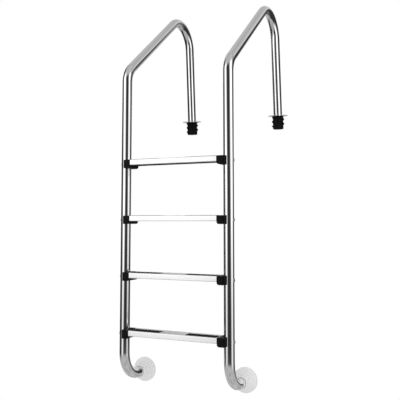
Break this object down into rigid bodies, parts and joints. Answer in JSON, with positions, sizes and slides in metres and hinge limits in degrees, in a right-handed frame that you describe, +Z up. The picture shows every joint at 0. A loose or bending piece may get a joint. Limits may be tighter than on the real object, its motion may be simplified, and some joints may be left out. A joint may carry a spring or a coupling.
{
  "type": "pool ladder",
  "caption": "Bent stainless tube pool ladder with level capped treads, ribbed deck anchor sockets under cover plates, and round wall bumpers on the feet.",
  "frame": {"origin": "midway between the two deck anchors, at deck level on the leg axes", "axes": "+X across the ladder, +Y from the water toward the deck, +Z up along the uprights"},
  "size_m": [0.6088, 0.7871, 1.8321],
  "materials": {
    "polished_steel": "mirror polished stainless tube and sheet",
    "fastener_steel": "plain stainless fasteners",
    "black_plastic": "moulded black polymer",
    "black_pad": "gritted anti-slip pad",
    "white_bumper": "milky translucent soft polymer",
    "grey_plastic": "moulded polymer"
  },
  "bodies": {
    "ladder": {"left_rail": "polished_steel", "left_bumper": "white_bumper", "left_foot_plug": "grey_plastic", "left_foot_screw": "fastener_steel", "right_rail": "polished_steel", "right_bumper": "white_bumper", "right_foot_plug": "grey_plastic", "right_foot_screw": "fastener_steel", "tread_1": "polished_steel", "tread_1_pad_left": "black_pad", "tread_1_cap_left": "black_plastic", "tread_1_bolt_left": "fastener_steel", "tread_1_washer_left": "fastener_steel", "tread_1_nut_left": "fastener_steel", "tread_1_pad_right": "black_pad", "tread_1_cap_right": "black_plastic", "tread_1_bolt_right": "fastener_steel", "tread_1_washer_right": "fastener_steel", "tread_1_nut_right": "fastener_steel", "tread_2": "polished_steel", "tread_2_pad_left": "black_pad", "tread_2_cap_left": "black_plastic", "tread_2_bolt_left": "fastener_steel", "tread_2_washer_left": "fastener_steel", "tread_2_nut_left": "fastener_steel", "tread_2_pad_right": "black_pad", "tread_2_cap_right": "black_plastic", "tread_2_bolt_right": "fastener_steel", "tread_2_washer_right": "fastener_steel", "tread_2_nut_right": "fastener_steel", "tread_3": "polished_steel", "tread_3_pad_left": "black_pad", "tread_3_cap_left": "black_plastic", "tread_3_bolt_left": "fastener_steel", "tread_3_washer_left": "fastener_steel", "tread_3_nut_left": "fastener_steel", "tread_3_pad_right": "black_pad", "tread_3_cap_right": "black_plastic", "tread_3_bolt_right": "fastener_steel", "tread_3_washer_right": "fastener_steel", "tread_3_nut_right": "fastener_steel", "tread_4": "polished_steel", "tread_4_pad_left": "black_pad", "tread_4_cap_left": "black_plastic", "tread_4_bolt_left": "fastener_steel", "tread_4_washer_left": "fastener_steel", "tread_4_nut_left": "fastener_steel", "tread_4_pad_right": "black_pad", "tread_4_cap_right": "black_plastic", "tread_4_bolt_right": "fastener_steel", "tread_4_washer_right": "fastener_steel", "tread_4_nut_right": "fastener_steel"},
    "left_clamp_screw": {"left_clamp_screw": "fastener_steel"},
    "left_cover_plate": {"left_cover_plate": "polished_steel"},
    "left_socket": {"left_socket": "black_plastic"},
    "left_wedge": {"left_wedge": "fastener_steel"},
    "right_clamp_screw": {"right_clamp_screw": "fastener_steel"},
    "right_cover_plate": {"right_cover_plate": "polished_steel"},
    "right_socket": {"right_socket": "black_plastic"},
    "right_wedge": {"right_wedge": "fastener_steel"}
  },
  "joints": [
    {"name": "left_cover_plate_slide", "type": "slide", "parent": "ladder", "child": "left_cover_plate", "axis": [0, -0.0771, 0.997], "range_m": [0, 0.3]},
    {"name": "left_socket_release", "type": "slide", "parent": "ladder", "child": "left_socket", "axis": [0, 0.0771, -0.997], "range_m": [0, 0.12]},
    {"name": "left_wedge_slide", "type": "slide", "parent": "left_socket", "child": "left_wedge", "axis": [0, 0.0771, -0.997], "range_m": [0, 0.004]},
    {"name": "left_clamp_turn", "type": "hinge", "parent": "left_socket", "child": "left_clamp_screw", "pos_m": [-0.25, 0.02792, 0.00216], "axis": [0, -0.0771, 0.997], "range_deg": [0, 1810]},
    {"name": "right_cover_plate_slide", "type": "slide", "parent": "ladder", "child": "right_cover_plate", "axis": [0, -0.0771, 0.997], "range_m": [0, 0.3]},
    {"name": "right_socket_release", "type": "slide", "parent": "ladder", "child": "right_socket", "axis": [0, 0.0771, -0.997], "range_m": [0, 0.12]},
    {"name": "right_wedge_slide", "type": "slide", "parent": "right_socket", "child": "right_wedge", "axis": [0, 0.0771, -0.997], "range_m": [0, 0.004]},
    {"name": "right_clamp_turn", "type": "hinge", "parent": "right_socket", "child": "right_clamp_screw", "pos_m": [0.25, 0.02792, 0.00216], "axis": [0, -0.0771, 0.997], "range_deg": [0, 1810]}
  ],
  "couplings": [
    {"joint": "left_clamp_turn", "follows": "left_wedge_slide", "rad_per_m": 7854},
    {"joint": "right_clamp_turn", "follows": "right_wedge_slide", "rad_per_m": 7854}
  ]
}
